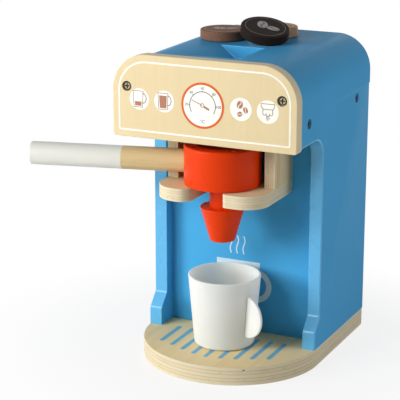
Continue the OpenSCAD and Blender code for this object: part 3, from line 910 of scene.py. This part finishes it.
def icon_prints(inks, plane):
    lines = Sign("icon_lines", lift=PRINT_T, **plane)
    fills = Sign("icon_fills", lift=PRINT_T, **plane)
    slits = Sign("bean_slits", lift=SLIT_LIFT, **plane)
    for x, level in zip(ICON_X, MUG_LEVELS):
        mug_icon(lines, fills, x, ICON_Y, level)
    for dx, dy, rx, ry, turn in ICON_BEANS:
        bean(fills, slits, ICON_X[2] + dx, ICON_Y + dy, rx, ry, turn)
    drip_icon(lines, ICON_X[3], ICON_Y)
    lines.done(inks["line"], thickness=THIN_T)
    fills.done(inks["brown"], thickness=THIN_T)
    slits.done(inks["white"], thickness=THIN_T)


def gauge_prints(inks, plane):
    """Numbered arc and unit, needle, and the needle's hub and tail."""
    def at(x, y):
        return x, GAUGE_Y + y

    marks = Sign("gauge_marks", lift=PRINT_T, **plane)
    marks.line(circle(*at(0, 0), SCALE_R, SCALE_FROM, SCALE_TO, 240), SCALE_W)
    first, last = NUMBERS[0], NUMBERS[-1]
    for value in NUMBERS:
        angle = math.radians(180 - (value - first) / (last - first) * 180)
        c, s = math.cos(angle), math.sin(angle)
        tick_in, tick_out = SCALE_R - TICK_IN, SCALE_R + TICK_OUT
        marks.line([at(tick_in * c, tick_in * s), at(tick_out * c, tick_out * s)], TICK_W,
                   round_ends=False)
        marks.figures(str(value), *at(NUMBER_R * c, NUMBER_R * s), NUMBER_H)
    marks.figures("°C", *at(0, -UNIT_DROP), UNIT_H)
    marks.done(inks["dark"], thickness=THIN_T)

    needle = Sign("gauge_needle", lift=PRINT_T, **plane)
    needle.line([at(*HUB), at(*NEEDLE_TIP)], NEEDLE_W)
    needle.done(inks["line"], thickness=THIN_T)
    tail = Sign("gauge_needle_tail", lift=PRINT_T, **plane)
    tail.line([at(*TAIL_FROM), at(*TAIL_TO)], TAIL_W, round_ends=False)
    tail.ring(circle(*at(*HUB), HUB_R), circle(*at(*HUB), HUB_BORE))
    tail.done(inks["brown"], thickness=TAIL_T)


def base_prints(inks):
    """Nine drip stripes whose front ends follow the base board's round front."""
    stripes = Sign("drip_stripes", origin=(0, 0, base_top), right=(1, 0, 0), up=(0, 1, 0))
    middle = (len(STRIPE_FRONTS) - 1) / 2
    for i, front in enumerate(STRIPE_FRONTS):
        x = (i - middle) * STRIPE_PITCH
        stripes.line([(x, front + STRIPE_W / 2), (x, STRIPE_BACK - STRIPE_W / 2)], STRIPE_W)
    stripes.done(inks["stripe"])


def splash_prints(inks):
    """Steam and a mug on the splash panel, behind the cup."""
    plane = dict(origin=(0, splash_face, 0), right=(1, 0, 0), up=(0, 0, 1))
    steam = Sign("steam_lines", **plane)
    shares = [i / STEAM_STEPS for i in range(STEAM_STEPS + 1)]
    for x in STEAM_X:
        steam.line([(x - STEAM_WAVE * math.sin(t * 2 * math.pi), STEAM_Z + STEAM_H * t) for t in shares],
                   STEAM_W)
    steam.done(inks["steam"])

    mug = Sign("mug_print", **plane)
    left, right = CORNER_X
    mug.area([BIG_MUG_TOP[0], BIG_MUG_SIDES[0]] + circle(left, CORNER_Z, CORNER_R, 190, 270, 40)
             + circle(right, CORNER_Z, CORNER_R, 270, 350, 40) + [BIG_MUG_SIDES[1], BIG_MUG_TOP[1]])
    mug.line(circle(*EAR_MIDDLE, EAR_R, EAR_FROM, EAR_TO, 120), EAR_W, round_ends=False)
    mug.done(inks["frost"])


def disc_prints(inks):
    """A ring and two beans on each coffee disc."""
    for node, body, ink, rim_ink, lean, turn in DISC_SIGNS:
        lo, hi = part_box(node)
        tilt = (Matrix.Rotation(DISC_LEAN_TOWARDS, 3, "Z")
                @ Matrix.Rotation(math.radians(lean), 3, "Y")
                @ Matrix.Rotation(-DISC_LEAN_TOWARDS, 3, "Z"))
        top = (lo + hi) / 2 + tilt @ Vector((0, 0, disc_t / 2))
        turned = tilt @ Matrix.Rotation(math.radians(turn), 3, "Z")
        plane = dict(origin=top, right=turned @ Vector((1, 0, 0)), up=turned @ Vector((0, 1, 0)))
        rim = Sign(node + "_rim_line", **plane)
        rim.ring(*(circle(0, 0, r) for r in DISC_LINE_R))
        rim.done(inks[rim_ink], body)
        sign = Sign(node + "_print", **plane)
        slit = Sign(node + "_slits", lift=PRINT_T, **plane)
        for spot in DISC_BEANS:
            bean(sign, slit, *spot)
        sign.done(inks[ink], body)
        slit.done(inks["dark"], body, THIN_T)


# ---------------------------------------------------------------- the whole machine

def dress_painted_boards():
    """Blue boards. They stay sharp where they meet at the roof's seam, the base and the front panel."""
    blue = gloss_paint("blue_paint", BLUE, roughness=0.32, gloss=0.008, grain=BOARD_WAVES)
    # the second blue is glossier and lighter: a painted highlight on eased edges and forward faces
    blue_gloss_and_highlight = gloss_paint("blue_gloss_and_highlight_paint", BLUE_GLOSS_AND_HIGHLIGHT, roughness=0.28, gloss=0.5,
                            grain=BOARD_WAVES)
    seam, on_base, on_panel = (2, roof_lo.z), (2, base_top), (1, roof_lo.y)
    for node in ("side_panel_left", "side_panel_right"):
        gloss_front(painted_board(node, blue, blue_gloss_and_highlight, [seam, on_base]))
    for node in ("splash_panel", "rear_panel"):
        painted_board(node, blue, blue_gloss_and_highlight, [seam, on_base])
    painted_board("roof", blue, blue_gloss_and_highlight, [seam, on_panel])


def dress_natural_boards():
    finish_with(softened("front_panel"),
                plywood("panel_plywood", "front_panel", axis="Y", plies=5, along="Z", cross="X",
                        face_wood=PANEL_FACE))
    finish_with(softened("base_board"),
                plywood("base_plywood", "base_board", axis="Z", plies=5, along="Y", cross="X",
                        face_wood=BASE_FACE, glue_share=0.65, pit=BASE_PIT))
    finish_with(softened("fork_plate"),
                plywood("fork_plywood", "fork_plate", axis="Z", plies=5, along="X", cross="Y",
                        glue_share=0.4))
    for node in ("cheek_left", "cheek_right"):
        finish_with(softened(node),
                    plywood(node + "_plywood", node, axis="X", plies=5, along="Z", cross="Y",
                            face_wood=CHEEK_FACE))
    finish_with(nodes["deck_board"],
                plywood("deck_plywood", "deck_board", axis="Z", plies=7, along="X", cross="Y"))


def dress_pins_and_screws():
    beech = turned_beech()
    for node in ("cheek_pins", "roof_pins", "rear_pins"):
        finish_with(nodes[node], beech)
    bright = steel("bright_screws", BRIGHT_STEEL, roughness=0.3)
    for node in ("base_screws", "fork_screws"):
        finish_with(nodes[node], bright)
    finish_with(nodes["panel_screws"], antique_screw(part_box("panel_screws")[0].y))
    finish_with(nodes["side_screws"], steel("dark_screws", DARK_STEEL, roughness=0.42))


def dress_loose_pieces():
    """The filter holder, the cup and the coffee discs."""
    orange = gloss_paint("orange_paint", ORANGE, roughness=0.28, gloss=0.12, grain=TURNED_WAVES)
    for node in ("spout", "filter_puck"):
        finish_with(nodes[node], orange)
    finish_with(nodes["handle"], handle_wood())
    white = cup_white()
    finish_with(nodes["cup_body"], white)
    finish_with(softened("cup_ear", body="cup"), white)
    for node, (name, color) in DISC_STAINS.items():
        finish_with(nodes[node], stained_board(name, color))


def add_prints():
    inks = {name: print_ink(name + "_ink", color) for name, color in INK_COLORS.items()}
    inks["white"] = print_ink("white_ink", WHITE_INK, cover=0.85, under=WOOD_UNDER_INK)
    panel_prints(inks)
    base_prints(inks)
    splash_prints(inks)
    disc_prints(inks)


def build():
    add_camera()
    add_world()
    add_floor()
    for name, values in LAMPS.items():
        add_softbox(name, **values)
    dress_painted_boards()
    dress_natural_boards()
    dress_pins_and_screws()
    dress_loose_pieces()
    add_prints()


build()
bpy.context.scene.view_settings.view_transform = "Standard"
